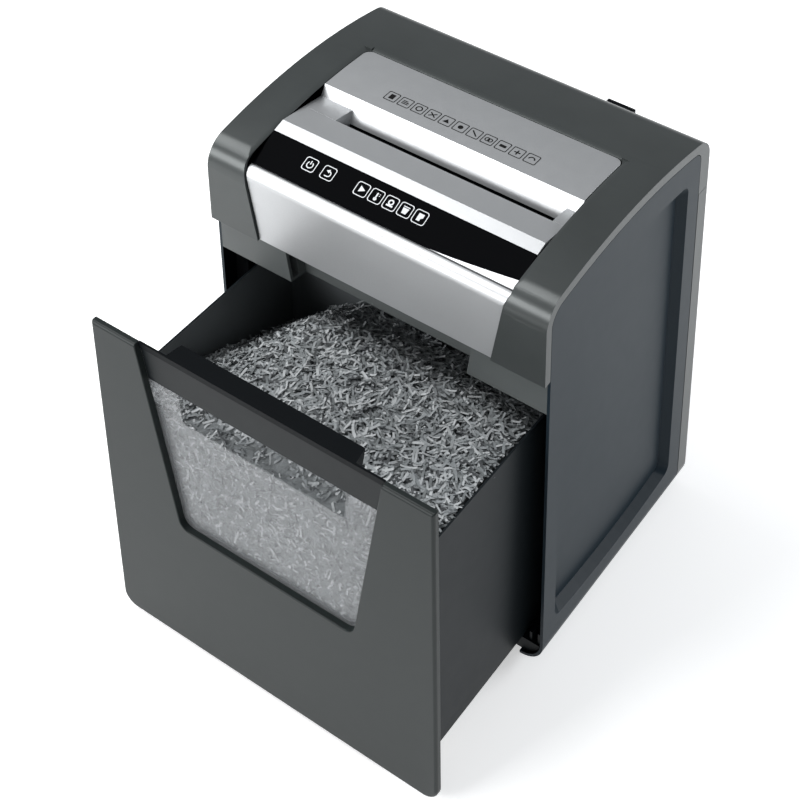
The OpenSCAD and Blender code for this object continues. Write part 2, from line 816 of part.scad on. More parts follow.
module switch_bezel() {
    // Hooded frame of the mains switch, standing 4 mm behind the rear face
    color([0.08, 0.085, 0.09]) body_frame() difference() {
        box([72.2, 262, 389.2], [101.8, depth + hood_out, 420.3]);
        box([75, 264, 392], [99, depth + 5, 417]);
        rod_x(73.4, 101, switch_at, 1.55);
    }
}
switch_at = [269.5, 404.5];

module power_rocker() {
    // Two faces that meet at a shallow angle; resting with its upper half pressed in
    tilt = -7;
    color([0.03, 0.03, 0.03]) body_frame() translate([0, switch_at[0], switch_at[1]])
        rotate([tilt, 0, 0]) union() {
            across(75.8, 98.2) polygon([
                [-4, -6], [2, -10.6], [8, -10.6], [5.6, 0], [8, 10.6], [2, 10.6], [-4, 6]
            ]);
            rod_x(73.6, 100.8, [0, 0], 1.5);
        }
}

// Sensors -----------------------------------------------------------------------------------

sensor_at = [119, 404];

module sensor_bracket() {
    color([0.12, 0.12, 0.13]) body_frame() difference() {
        union() {
            for (s = [-1, 1]) box([s * 7 - 1.2, 114, 399], [s * 7 + 1.2, 132, 410]);
            box([-8.2, 129, 396], [8.2, 134, 410]);
        }
        rod_x(-12, 12, sensor_at, 1.55);
        rod_x(-12, 12, tie_at[2], 4);
    }
}
module paper_sensor_lever() {
    color([0.75, 0.75, 0.72]) body_frame() {
        rod_x(-8.4, 8.4, sensor_at, 1.5);
        across(-2, 2) polygon([
            sensor_at + [-2, 2.6], sensor_at + [2, 2.6], sensor_at + [2, -2.6],
            sensor_at + [-14, -11.5], sensor_at + [-15.5, -9]
        ]);
    }
}
flap_at = [148, 304.5];
module bin_full_flap() {
    color([0.14, 0.14, 0.15]) body_frame() {
        across(-30, 30) polygon([
            flap_at + [-1.6, 1.6], flap_at + [1.6, 1.6], flap_at + [1.6, -12], flap_at + [0, -13],
            flap_at + [-1.6, -12]
        ]);
        rod_x(-33, 33, flap_at, 1.5);
    }
}
plunger_at = [-60, 292];
module interlock_switch() {
    // Switch body above the bin's rear wall, with the ears that carry the bin-full flap
    color([0.05, 0.05, 0.055]) body_frame() difference() {
        union() {
            box([-70, 249, 284], [-50, 262, 307]);
            for (s = [-1, 1]) box([s * 32.2 - 1, 145, 300], [s * 32.2 + 1, 151, 307]);
        }
        rod_y(248, 261.4, plunger_at, 3.05);
        rod_x(-40, 40, flap_at, 1.55);
    }
}
module interlock_plunger() {
    color([0.8, 0.2, 0.15]) body_frame() rod_y(bin_depth + shut_y + 0.4, 258.8, plunger_at, 3);
}

// Drawer ------------------------------------------------------------------------------------

module window_outline(grow) {
    // Tapered opening, wide at the top, with two round lower corners
    r = 12;
    slope = atan2(window_top_x - window_low_x, plate_top - 1 - 165);
    bx = window_low_x - (165 - window_low) * tan(slope);
    half = r * tan(45 - slope / 2);
    c = [bx - half + grow, window_low + r - grow];
    right = concat(
        arc(c, r, 270, 360 - slope, 8),
        [[window_top_x + grow, plate_top - 1], [window_top_x + grow, plate_top + 2]]
    );
    n = len(right);
    polygon(concat(right, [for (i = [n - 1:-1:0]) [-right[i][0], right[i][1]]]));
}

module drawer_front() {
    r = 15.5;
    x1 = width / 2;
    c = 2;
    color([0.35, 0.36, 0.37]) drawer_frame() difference() {
        hull() {
            backward(-plate_t + c, 0) round_foot(x1, r, base_low, plate_top, 0);
            backward(-plate_t, -plate_t + eps) round_foot(x1, r, base_low, plate_top, c);
        }
        backward(-plate_t - 1, 1) window_outline(0);
    }
}

module block_section(z, x_front, x_rear, y_rear) {
    translate([0, 0, z]) linear_extrude(eps)
        polygon([[-x_front, 0], [x_front, 0], [x_rear, y_rear], [-x_rear, y_rear]]);
}

module grip_band() {
    // Dark strip across the top of the window
    color([0.2, 0.21, 0.22]) drawer_frame() intersection() {
        backward(-0.8, 0.2) window_outline(-0.3);
        box([-140, -2, band_z], [140, 2, 340]);
    }
}

module handle_block() {
    // Hollow block behind the band: fingers reach up into it from the scoop
    color([0.1, 0.11, 0.12]) drawer_frame() {
        intersection() {
            backward(-2, 0.2) window_outline(-0.3);
            box([-140, -3, 340], [140, 2, plate_top]);
        }
        difference() {
            hull() {
                translate([0, 0.2, 0]) block_section(plate_top - eps, 101.5, 98.5, block_d);
                translate([0, 0.2, 0]) block_section(band_z, 95, 92, block_d);
            }
            hull() {
                translate([0, 2.2, 0]) block_section(plate_top - 3, 98, 96, block_d - 4);
                translate([0, 2.2, 0]) block_section(band_z - 1, 92, 89, block_d - 4);
            }
        }
    }
}

module bin_window() {
    // Clear pane with the finger scoop moulded into its upper edge
    color([0.75, 0.8, 0.82, 0.5]) drawer_frame() difference() {
        union() {
            intersection() {
                backward(-0.8, 1.2) window_outline(-0.3);
                box([-140, -2, window_low - 5], [140, 2, band_z - 0.1]);
            }
            hull() {
                block_section(band_z - 0.1 - eps, 93, 90, block_d);
                block_section(scoop_z - 1.8, 90, 87, block_d);
            }
        }
        hull() {
            translate([0, -2, 0]) block_section(band_z + 1, 91, 88.2, block_d + 0.2);
            translate([0, -2, 0]) block_section(scoop_z, 88, 85.2, block_d + 0.2);
        }
    }
}

module bin_section(z, x, y0, y1, r) {
    translate([0, 0, z]) linear_extrude(eps) hull() {
        for (s = [-1, 1], y = [y0 + r, y1 - r])
            translate([s * (x - r), y]) circle(r = r, $fn = 32);
    }
}

module waste_bin() {
    t = 2;
    front = 1.4;
    color([0.26, 0.28, 0.3]) drawer_frame() difference() {
        union() {
            hull() {
                bin_section(bin_low, bin_x - 4, front, bin_depth - 4, 10);
                bin_section(bin_rim - eps, bin_x, front, bin_depth, 10);
            }
            // Striker that presses the safety switch
            box([plunger_at[0] - 6, bin_depth - t, 262], [plunger_at[0] + 6, bin_depth, 298]);
        }
        hull() {
            bin_section(bin_low + t, bin_x - 4 - t, front + t, bin_depth - 4 - t, 8);
            bin_section(bin_rim + 1, bin_x - t, front + t, bin_depth - t, 8);
        }
        // The front wall is cut away behind the window
        backward(-2, front + t + 0.5) translate([0, -1.5]) window_outline(-3);
        box([-96, -2, 268], [96, block_d + 1.5, bin_rim + 2]);
    }
}

module bin_glides() {
    color([0.85, 0.85, 0.82]) drawer_frame()
        for (s = [-1, 1], y = [30, 200])
            box([s * 140 - 6, y, wall + 0.4], [s * 140 + 6, y + 26, bin_low]);
}

// Height of the heap above the panels' lower edge: near the rim in the middle and on the right,
// lower along the left wall, and lowest at the back
function rise(t) = let (u = min(1, max(0, t))) u * u * (3 - 2 * u);
function heap_top(x, y) =
    let (
        side = 268 - 0.42 * y,
        mound = 8 * exp(-pow((x - 30) / 80, 2) - pow((y - 90) / 60, 2)),
        middle = 273 + mound - 34 * rise((y - 150) / 90) - 8 * rise((40 - y) / 30)
    )
    side + (middle - side) * rise((x + 160) / 95);

module paper_shreds() {
    // Closed solid of the heaped paper strips, with a top surface on a grid
    nx = 14;
    ny = 12;
    x0 = 154;
    y0 = 22;
    y1 = bin_depth - 8;
    xs = [for (i = [0:nx]) -x0 + 2 * x0 * i / nx];
    ys = [for (j = [0:ny]) y0 + (y1 - y0) * j / ny];
    top = [for (y = ys, x = xs) [x, y, heap_top(x, y)]];
    low = [for (y = ys, x = xs) [x * 0.985, y0 + (y - y0) * 0.985, bin_low + 2.4]];
    m = nx + 1;
    n = len(top);
    cells = [for (j = [0:ny - 1], i = [0:nx - 1]) j * m + i];
    faces = concat(
        [for (a = cells) [a, a + m, a + m + 1, a + 1]],
        [for (a = cells) [n + a, n + a + 1, n + a + m + 1, n + a + m]],
        [for (i = [0:nx - 1]) [i, i + 1, n + i + 1, n + i]],
        [for (i = [0:nx - 1]) [ny * m + i + 1, ny * m + i, n + ny * m + i, n + ny * m + i + 1]],
        [for (j = [0:ny - 1]) [(j + 1) * m, j * m, n + j * m, n + (j + 1) * m]],
        [for (j = [0:ny - 1]) [j * m + nx, (j + 1) * m + nx, n + (j + 1) * m + nx, n + j * m + nx]]
    );
    color([0.86, 0.86, 0.86]) drawer_frame() polyhedron(concat(top, low), faces, convexity = 6);
}

top_cover();
rear_cover();
left_side_panel();
right_side_panel();
base_tray();
feet();
foot_pads();
foot_screws();
rear_cover_screws();
head_tray();
front_fascia();
front_deck();
rear_deck();
control_panel();
indicator_board();
indicator_leds();
front_throat_guide();
rear_throat_guide();
left_frame_plate();
right_frame_plate();
frame_tie_bars();
cutter_bushes();
front_cutter_shaft();
front_cutter_discs();
rear_cutter_shaft();
rear_cutter_discs();
front_stripper_comb();
rear_stripper_comb();
front_sync_gear();
rear_sync_gear();
sync_gear_cover();
main_drive_gear();
intermediate_gear();
intermediate_pin();
gearbox_cover();
motor_can();
motor_end_bells();
stator_core();
motor_rotor();
motor_pinion();
motor_fan();
circuit_board();
board_components();
heat_sink();
power_inlet();
switch_bezel();
power_rocker();
paper_sensor_lever();
sensor_bracket();
bin_full_flap();
interlock_switch();
interlock_plunger();
drawer_front();
grip_band();
handle_block();
bin_window();
waste_bin();
bin_glides();
paper_shreds();
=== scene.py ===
"""Looks of the paper shredder: filleted mouldings, materials, icons, paper strips, studio."""

import json
import math
import random

import bmesh
import bpy
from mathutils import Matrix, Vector
from mathutils.bvhtree import BVHTree


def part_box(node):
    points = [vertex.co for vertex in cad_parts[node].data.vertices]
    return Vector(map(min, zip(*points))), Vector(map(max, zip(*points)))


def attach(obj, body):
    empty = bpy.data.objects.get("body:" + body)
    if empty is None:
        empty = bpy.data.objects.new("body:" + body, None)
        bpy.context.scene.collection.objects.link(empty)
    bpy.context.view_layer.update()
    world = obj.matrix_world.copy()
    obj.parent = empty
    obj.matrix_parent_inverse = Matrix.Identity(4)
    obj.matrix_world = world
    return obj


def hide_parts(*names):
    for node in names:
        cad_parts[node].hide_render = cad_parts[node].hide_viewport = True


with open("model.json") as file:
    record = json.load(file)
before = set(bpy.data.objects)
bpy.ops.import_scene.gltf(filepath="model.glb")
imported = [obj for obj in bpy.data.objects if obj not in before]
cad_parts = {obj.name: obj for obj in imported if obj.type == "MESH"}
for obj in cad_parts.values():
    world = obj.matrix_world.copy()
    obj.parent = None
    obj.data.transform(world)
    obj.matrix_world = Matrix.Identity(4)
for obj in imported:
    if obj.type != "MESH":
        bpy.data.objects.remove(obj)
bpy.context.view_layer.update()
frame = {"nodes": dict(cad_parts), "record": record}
nodes = frame["nodes"]
MM = 0.001

# Places are given as the CAD source gives them: back from the cabinet's front face and up from
# the panels' lower edge, or back from the rear face of the drawer front.
BODY_HEIGHT = 444.5  # panels' lower edge to the top of the arch
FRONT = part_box("top_cover")[0].y
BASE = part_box("top_cover")[1].z - BODY_HEIGHT * MM
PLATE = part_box("drawer_front")[1].y


def in_cabinet(x, y, z):
    return Vector((x * MM, FRONT + y * MM, BASE + z * MM))


def in_drawer(x, y, z):
    return Vector((x * MM, PLATE + y * MM, BASE + z * MM))


# Materials ---------------------------------------------------------------------------------


class Nodes:
    """Short names for building one material's node tree."""

    def __init__(self, name):
        self.material = bpy.data.materials.new(name)
        self.material.use_nodes = True
        self.tree = self.material.node_tree
        self.shader = self.tree.nodes["Principled BSDF"]
        self.coords = self.tree.nodes.new("ShaderNodeTexCoord")

    def noise(self, scale, detail=3.0, stretch=(1, 1, 1)):
        mapping = self.tree.nodes.new("ShaderNodeMapping")
        mapping.inputs["Scale"].default_value = stretch
        noise = self.tree.nodes.new("ShaderNodeTexNoise")
        noise.inputs["Scale"].default_value = scale
        noise.inputs["Detail"].default_value = detail
        self.tree.links.new(self.coords.outputs["Object"], mapping.inputs["Vector"])
        self.tree.links.new(mapping.outputs["Vector"], noise.inputs["Vector"])
        return noise.outputs["Fac"]

    def ramp(self, factor, low, high, start=0.35, end=0.65):
        ramp = self.tree.nodes.new("ShaderNodeValToRGB")
        ramp.color_ramp.elements[0].position = start
        ramp.color_ramp.elements[1].position = end
        ramp.color_ramp.elements[0].color = (*low, 1)
        ramp.color_ramp.elements[1].color = (*high, 1)
        self.tree.links.new(factor, ramp.inputs["Fac"])
        return ramp.outputs["Color"]

    def values(self, factor, low, high):
        span = self.tree.nodes.new("ShaderNodeMapRange")
        span.inputs["From Min"].default_value = 0.3
        span.inputs["From Max"].default_value = 0.7
        span.inputs["To Min"].default_value = low
        span.inputs["To Max"].default_value = high
        self.tree.links.new(factor, span.inputs["Value"])
        return span.outputs["Result"]

    def bump(self, height, strength, distance):
        bump = self.tree.nodes.new("ShaderNodeBump")
        bump.inputs["Strength"].default_value = strength
        bump.inputs["Distance"].default_value = distance
        self.tree.links.new(height, bump.inputs["Height"])
        self.tree.links.new(bump.outputs["Normal"], self.shader.inputs["Normal"])

    def put(self, **sockets):
        for key, value in sockets.items():
            name = key.replace("_", " ").title().replace("Ior", "IOR")
            self.shader.inputs[name].default_value = value

    def link(self, output, name):
        self.tree.links.new(output, self.shader.inputs[name])


def shade(colour, factor):
    return tuple(min(1.0, c * factor) for c in colour)


def moulded(name, colour, rough, grain=2400, depth=0.1, metal=0.0, coat=0.0, vary=0.06, gloss=0.5):
    """Moulded or lacquered plastic: fine spark-eroded grain and slight mottling."""
    n = Nodes(name)
    n.put(metallic=metal, coat_weight=coat, coat_roughness=0.12, specular_ior_level=gloss)
    mottle = n.noise(14, 4)
    n.link(n.ramp(mottle, shade(colour, 1 - vary), shade(colour, 1 + vary)), "Base Color")
    n.link(n.values(n.noise(60, 5), rough * 0.97, rough * 1.03), "Roughness")
    n.bump(n.noise(grain, 2), depth, 0.00004)
    return n.material


def lacquer(name, colour, rough):
    """Silver lacquer on plastic: metal flake under a satin coat."""
    n = Nodes(name)
    n.put(metallic=0.7, coat_weight=0.15, coat_roughness=0.3)
    n.link(n.ramp(n.noise(5200, 1), shade(colour, 0.94), shade(colour, 1.06)), "Base Color")
    n.link(n.values(n.noise(90, 4), rough * 0.94, rough * 1.06), "Roughness")
    n.bump(n.noise(3600, 2), 0.05, 0.00003)
    return n.material


def brushed(name, colour, rough, stretch=(3, 60, 60)):
    """Turned or rolled metal with fine lines along one direction."""
    n = Nodes(name)
    n.put(metallic=1.0)
    lines = n.noise(160, 4, stretch)
    n.link(n.ramp(lines, shade(colour, 0.88), shade(colour, 1.1)), "Base Color")
    n.link(n.values(lines, rough * 0.8, rough * 1.25), "Roughness")
    n.bump(lines, 0.08, 0.00005)
    return n.material


def clear(name, colour, alpha, rough):
    """Clear moulded plastic, as a light veil over what lies behind it."""
    n = Nodes(name)
    n.put(alpha=alpha, base_color=(*colour, 1), coat_weight=0.0)
    n.link(n.values(n.noise(30, 3), rough * 0.8, rough * 1.2), "Roughness")
    return n.material


def paper(name, colour):
    """Matte copier paper with a faint fibre texture."""
    n = Nodes(name)
    n.put(specular_ior_level=0.25)
    n.link(n.ramp(n.noise(420, 3), shade(colour, 0.9), colour), "Base Color")
    n.link(n.values(n.noise(300, 2), 0.8, 0.95), "Roughness")
    n.bump(n.noise(1800, 3), 0.2, 0.00005)
    return n.material


MATERIALS = {
    "shell_plastic": moulded("shell", (0.052, 0.058, 0.058), 0.30, metal=0.3, coat=0.05, gloss=0.3),
    "panel_plastic": moulded("panel", (0.011, 0.019, 0.026), 0.36, gloss=0.11, vary=0.0),
    "front_plastic": moulded("front", (0.013, 0.017, 0.017), 0.36, gloss=0.17, vary=0.0),
    "lower_plastic": moulded("lower", (0.078, 0.086, 0.086), 0.45, gloss=0.3),
    "dark_plastic": moulded("dark", (0.005, 0.007, 0.008), 0.45, gloss=0.15),
    "bin_plastic": moulded("bin", (0.009, 0.012, 0.014), 0.42, vary=0.0, gloss=0.10),
    "black_plastic": moulded("black", (0.003, 0.004, 0.005), 0.45, gloss=0.06),
    "silver_plastic": lacquer("silver", (0.47, 0.48, 0.49), 0.39),
    "gloss_black": moulded("gloss", (0.0008, 0.001, 0.0015), 0.10, depth=0.01, gloss=0.006),
    "clear_plastic": clear("pane", (0.27, 0.28, 0.29), 0.25, 0.15),
    "paper": paper("paper", (0.52, 0.53, 0.54)),
    "rubber": moulded("rubber", (0.016, 0.016, 0.016), 0.8, grain=900, depth=0.4),
    "steel": brushed("steel", (0.52, 0.53, 0.55), 0.32),
    "hard_steel": brushed("cutter steel", (0.30, 0.31, 0.33), 0.38),
    "plated_screws": brushed("screw", (0.16, 0.16, 0.17), 0.35),
    "bronze": brushed("bronze", (0.52, 0.34, 0.12), 0.35),
    "gear_nylon": moulded("nylon", (0.62, 0.58, 0.48), 0.5),
    "copper": brushed("copper", (0.42, 0.16, 0.06), 0.4),
    "bell_alloy": brushed("alloy", (0.30, 0.31, 0.33), 0.5, (1, 1, 1)),
    "board_green": moulded("solder mask", (0.02, 0.13, 0.05), 0.35),
    "led_white": moulded("led", (0.8, 0.8, 0.74), 0.25),
    "red_plastic": moulded("plunger", (0.45, 0.03, 0.02), 0.4),
}
# Paler copy of the bin plastic for the bin's inner faces: painted light for the light that falls
# inside the bin.
BIN_INSIDE_PAINTED_LIGHT = moulded("bin inside painted light", (0.10, 0.11, 0.115), 0.38, vary=0.04)
SCOOP = clear("scoop", (0.4, 0.42, 0.44), 0.03, 0.08)
ICON_WHITE = moulded("icon print", (0.60, 0.62, 0.64), 0.4)
ICON_DARK = moulded("pictogram print", (0.008, 0.008, 0.008), 0.5, gloss=0.1)
PAPER_SHADES = [
    paper("strip white", (0.50, 0.52, 0.53)),
    paper("strip light", (0.31, 0.33, 0.34)),
    paper("strip grey", (0.21, 0.225, 0.23)),
    paper("strip dark", (0.09, 0.095, 0.10)),
]

slot_of = {s["node"]: s["material_slot"] for s in frame["record"]["subparts"]}
body_of = {n: b for b, ns in frame["record"]["behaviour"]["bodies"].items() for n in ns}
for node_name, node_object in nodes.items():
    node_object.data.materials.clear()
    node_object.data.materials.append(MATERIALS[slot_of[node_name]])


# Making pieces -----------------------------------------------------------------------------


def piece(name, mesh, body, materials):
    """A new object that rides on a body and takes the materials it is given."""
    obj = bpy.data.objects.new(name, mesh)
    bpy.context.scene.collection.objects.link(obj)
    mesh.materials.clear()
    for m in materials:
        mesh.materials.append(m)
    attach(obj, body)
    return obj


def smooth(mesh, angle):
    mesh.polygons.foreach_set("use_smooth", [True] * len(mesh.polygons))
    mesh.set_sharp_from_angle(angle=math.radians(angle))


def applied(obj):
    """Bakes the object's modifiers into its mesh."""
    graph = bpy.context.evaluated_depsgraph_get()
    baked = bpy.data.meshes.new_from_object(obj.evaluated_get(graph), depsgraph=graph)
    obj.modifiers.clear()
    obj.data = baked


WELD = 2e-6
FLAT_ANGLE = 0.4
SHARP_ANGLE = 44


def clean_copy(node):
    """The node's mesh with its seams welded and its flat facets merged."""
    mesh = nodes[node].data.copy()
    bm = bmesh.new()
    bm.from_mesh(mesh)
    bmesh.ops.remove_doubles(bm, verts=bm.verts, dist=WELD)
    bmesh.ops.dissolve_limit(
        bm,
        angle_limit=math.radians(FLAT_ANGLE),
        verts=bm.verts,
        edges=bm.edges,
        use_dissolve_boundaries=False,
    )
    bm.to_mesh(mesh)
    bm.free()
    return mesh


def filleted(node, radius, angle=32, segments=3):
    """Stands for a CAD node, with its sharp edges rounded as a moulding's are."""
    mesh = clean_copy(node)
    slot = slot_of[node]
    obj = piece(node + ".fine", mesh, body_of[node], [MATERIALS[slot]])
    bevel = obj.modifiers.new("fillet", "BEVEL")
    bevel.width = radius * MM
    bevel.segments = segments
    bevel.limit_method = "ANGLE"
    bevel.angle_limit = math.radians(angle)
    bevel.miter_outer = "MITER_SHARP"
    bevel.use_clamp_overlap = True
    weighted = obj.modifiers.new("normals", "WEIGHTED_NORMAL")
    weighted.keep_sharp = True
    smooth(mesh, SHARP_ANGLE)
    applied(obj)
    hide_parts(node)
    return obj


# Fillet radius in millimetres of each moulding that shows
FILLETS = {
    "top_cover": 1.1,
    "rear_cover": 1.4,
    "left_side_panel": 1.0,
    "right_side_panel": 1.0,
    "base_tray": 0.5,
    "feet": 0.8,
    "foot_pads": 0.5,
    "rear_cover_screws": 0.4,
    "head_tray": 0.7,
    "front_fascia": 0.5,
    "front_deck": 0.35,
    "rear_deck": 0.4,
    "control_panel": 0.25,
    "power_inlet": 0.5,
    "switch_bezel": 0.8,
    "power_rocker": 0.5,
    "drawer_front": 1.2,
    "grip_band": 0.2,
    "handle_block": 0.9,
    "bin_window": 0.3,
    "waste_bin": 0.6,
    "bin_glides": 0.3,
    "bin_full_flap": 0.3,
}
for node_name, radius in FILLETS.items():
    filleted(node_name, radius)


def clear_scoop():
    """The scoop is clearer than the pane, whose faces lie flat in the drawer front."""
    obj = bpy.data.objects["bin_window.fine"]
    obj.data.materials.append(SCOOP)
    behind_pane = PLATE + 1.6 * MM
    for p in obj.data.polygons:
        if p.center.y > behind_pane:
            p.material_index = 1


def paint_shade_inside_panels():
    """The side panels' inward faces take black plastic: painted shade for the dark inside of the
    cabinet.
    """
    for name, side in (("left_side_panel.fine", 1), ("right_side_panel.fine", -1)):
        obj = bpy.data.objects[name]
        obj.data.materials.append(MATERIALS["black_plastic"])
        for p in obj.data.polygons:
            if p.normal.x * side > 0.1:
                p.material_index = 1


def paint_light_inside_bin():
    """The bin's inner faces and floor take a smoother, paler copy of its plastic: painted light for
    the light that falls inside the bin.
    """
    obj = bpy.data.objects["waste_bin.fine"]
    obj.data.materials.append(BIN_INSIDE_PAINTED_LIGHT)
    low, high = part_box("waste_bin")
    middle = (low + high) / 2
    for p in obj.data.polygons:
        out = p.center - middle
        faces_in = out.x * p.normal.x + out.y * p.normal.y < -1e-3
        bottom = p.normal.z > 0.5 and out.z < 0
        if faces_in or bottom:
            p.material_index = 1


clear_scoop()
# Painted shade: the side panels' inward faces are black, standing in for the shade inside the
# cabinet.
paint_shade_inside_panels()
# Painted light: the bin's inner faces and floor are paler than its outside.
paint_light_inside_bin()


# Paper strips ------------------------------------------------------------------------------

STRIP_STEPS = 4
STRIP_LENGTHS = (8 * MM, 15 * MM)
STRIP_WIDTHS = (1.7 * MM, 2.5 * MM)
TONE_SHARES = (30, 38, 22, 10)  # out of 100, in the order of PAPER_SHADES
SCOOP_DEPTH = 24 * MM  # how far the scoop reaches back from the drawer front
UNDER_SCOOP = BASE + 264 * MM
CORE_DRAFT = 0.97


def heap_surface():
    """Top of the heap's CAD solid, as a function of x and y in metres."""
    tree = BVHTree.FromObject(nodes["paper_shreds"], bpy.context.evaluated_depsgraph_get())
    low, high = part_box("paper_shreds")

    def height(x, y):
        x = min(max(x, low.x + 1e-4), high.x - 1e-4)
        y = min(max(y, low.y + 1e-4), high.y - 1e-4)
        hit = tree.ray_cast(Vector((x, y, high.z + 0.1)), Vector((0, 0, -1)))[0]
        return hit.z if hit else high.z

    return height


def strip_geometry(rng, at, normal, length, width, heading):
    """Points of one curled paper strip lying on a surface with that normal."""
    side = Vector((math.cos(heading), math.sin(heading), 0))
    if abs(normal.y) > 0.8:
        side = Vector((math.cos(heading), 0, math.sin(heading)))
    along = (side - normal * side.dot(normal)).normalized()
    across = normal.cross(along).normalized()
    tilt = rng.uniform(-0.4, 0.4)
    roll = rng.uniform(-0.5, 0.5)
    along = (along + normal * tilt).normalized()
    across = (across + normal * roll).normalized()
    lift = along.cross(across)
    curl = rng.uniform(-0.7, 0.7)
    bend = rng.uniform(-0.25, 0.25)
    points = []
    for i in range(STRIP_STEPS + 1):
        t = i / STRIP_STEPS - 0.5
        centre = at + along * (t * length) + lift * (curl * t * t * length)
        centre += across * (bend * t * t * length)
        points.append(centre - across * (width / 2))
        points.append(centre + across * (width / 2))
    return points


def strips(name, count, seed, place):
    """One piece made of many paper strips; place(rng) gives each one's point and normal."""
    rng = random.Random(seed)
    verts = []
    faces = []
    tones = []
    for _ in range(count):
        at, normal = place(rng)
        length = rng.uniform(*STRIP_LENGTHS)
        width = rng.uniform(*STRIP_WIDTHS)
        heading = rng.uniform(0, math.pi)
        first = len(verts)
        verts.extend(strip_geometry(rng, at, normal, length, width, heading))
        tone = rng.choices(range(4), TONE_SHARES)[0]
        for i in range(STRIP_STEPS):
            a = first + 2 * i
            faces.append((a, a + 1, a + 3, a + 2))
            tones.append(tone)
    mesh = bpy.data.meshes.new(name)
    mesh.from_pydata(verts, [], faces)
    mesh.validate()
    obj = piece(name, mesh, "drawer", PAPER_SHADES)
    mesh.polygons.foreach_set("material_index", tones)
    mesh.polygons.foreach_set("use_smooth", [True] * len(faces))
    return obj


def heap_core(height):
    """Closed body of packed paper under the loose strips."""
    nx, ny = 60, 44
    half_width = 156 * MM
    thickness = 4 * MM  # of the loose layer on top
    y0, y1 = PLATE + 5 * MM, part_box("paper_shreds")[1].y
    low = BASE + 8 * MM
    core_top = UNDER_SCOOP + 4 * MM
    rng = random.Random(5)
    verts = []
    for level in (0, 1):
        for j in range(ny + 1):
            for i in range(nx + 1):
                x = half_width * (2 * i / nx - 1)
                y = y0 + (y1 - y0) * j / ny
                z = low
                if level:
                    z = height(x, y) - thickness + rng.uniform(-1.5, 1.5) * MM
                    if y < PLATE + SCOOP_DEPTH - 2 * MM:
                        z = min(z, core_top)
                draft = 1.0 if level else CORE_DRAFT
                verts.append((x * draft, y, z))
    m = nx + 1
    n = m * (ny + 1)
    faces = []
    for j in range(ny):
        for i in range(nx):
            a = j * m + i
            faces.append((a, a + m, a + m + 1, a + 1))
            faces.append((n + a, n + a + 1, n + a + m + 1, n + a + m))
    for i in range(nx):
        faces.append((i, i + 1, n + i + 1, n + i))
        b = ny * m + i
        faces.append((b + 1, b, n + b, n + b + 1))
    for j in range(ny):
        a = j * m
        faces.append((a + m, a, n + a, n + a + m))
        b = a + nx
        faces.append((b, b + m, n + b + m, n + b))
    mesh = bpy.data.meshes.new("heap_core")
    mesh.from_pydata(verts, [], faces)
    obj = piece("heap_core", mesh, "drawer", [PAPER_SHADES[2]])
    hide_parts("paper_shreds")
    return obj


def paper_heap():
    height = heap_surface()
    heap_core(height)
    y_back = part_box("paper_shreds")[1].y - 2 * MM
    x_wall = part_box("waste_bin")[1].x - 6 * MM
    y_front = PLATE + 8 * MM
    step = 2 * MM

    def on_top(rng):
        x = rng.uniform(-x_wall, x_wall)
        y = rng.uniform(y_front, y_back)
        z = height(x, y)
        if y < PLATE + SCOOP_DEPTH:
            z = min(z, UNDER_SCOOP)
        slope_x = (height(x + step, y) - height(x - step, y)) / (2 * step)
        slope_y = (height(x, y + step) - height(x, y - step)) / (2 * step)
        normal = Vector((-slope_x, -slope_y, 1)).normalized()
        return Vector((x, y, z + rng.uniform(-3, 2.5) * MM)), normal

    def behind_pane(rng):
        x = rng.uniform(-130, 130)
        z = rng.uniform(134, 264)
        return in_drawer(x, rng.uniform(4.5, 7), z), Vector((0, -1, 0))

    strips("loose_strips", 9000, seed=11, place=on_top)
    strips("window_strips", 4200, seed=12, place=behind_pane)


paper_heap()


# Printed icons -----------------------------------------------------------------------------


def ring_polygon(outer, inner):
    """Faces of a band between two outlines with the same number of points."""
    n = len(outer)
    verts = outer + inner
    faces = [(i, (i + 1) % n, n + (i + 1) % n, n + i) for i in range(n)]
    return verts, faces


def rounded_square(size, r, n=5):
    half = size / 2 - r
    corners = ((half, half), (-half, half), (-half, -half), (half, -half))
    points = []
    for k, (cx, cy) in enumerate(corners):
        for i in range(n + 1):
            a = math.pi / 2 * (k + i / n)
            points.append((cx + r * math.cos(a), cy + r * math.sin(a)))
    return points


def frame_glyph(size, stroke, r):
    return ring_polygon(rounded_square(size, r), rounded_square(size - 2 * stroke, r - stroke / 2))


def fill(*points):
    return list(points), [tuple(range(len(points)))]


def disc(cx, cy, r, n=20):
    return fill(*[
        (cx + r * math.cos(2 * math.pi * i / n), cy + r * math.sin(2 * math.pi * i / n))
        for i in range(n)
    ])


def arc_band(cx, cy, r, stroke, a0, a1, n=24):
    angles = [math.radians(a0 + (a1 - a0) * i / n) for i in range(n + 1)]
    verts = []
    for radius in (r + stroke / 2, r - stroke / 2):
        verts.extend((cx + radius * math.cos(a), cy + radius * math.sin(a)) for a in angles)
    m = n + 1
    return verts, [(i, i + 1, m + i + 1, m + i) for i in range(n)]


def bar(x0, y0, x1, y1, stroke):
    d = Vector((x1 - x0, y1 - y0)).normalized() * stroke / 2
    return fill(
        (x0 + d.y, y0 - d.x), (x1 + d.y, y1 - d.x), (x1 - d.y, y1 + d.x), (x0 - d.y, y0 + d.x)
    )


def power_glyph():
    return [arc_band(0, -0.3, 3.1, 1.0, 125, 415), bar(0, 0.2, 0, 3.9, 1.0)]


def back_glyph():
    return [
        arc_band(0.2, -0.6, 2.6, 1.0, -90, 90),
        bar(0.2, -3.2, -2.6, -3.2, 1.0),
        fill((0.4, 0.1), (0.4, 3.9), (-3.0, 2.0)),
    ]


def forward_glyph():
    return [fill((-2.4, -3.2), (3.6, 0), (-2.4, 3.2))]


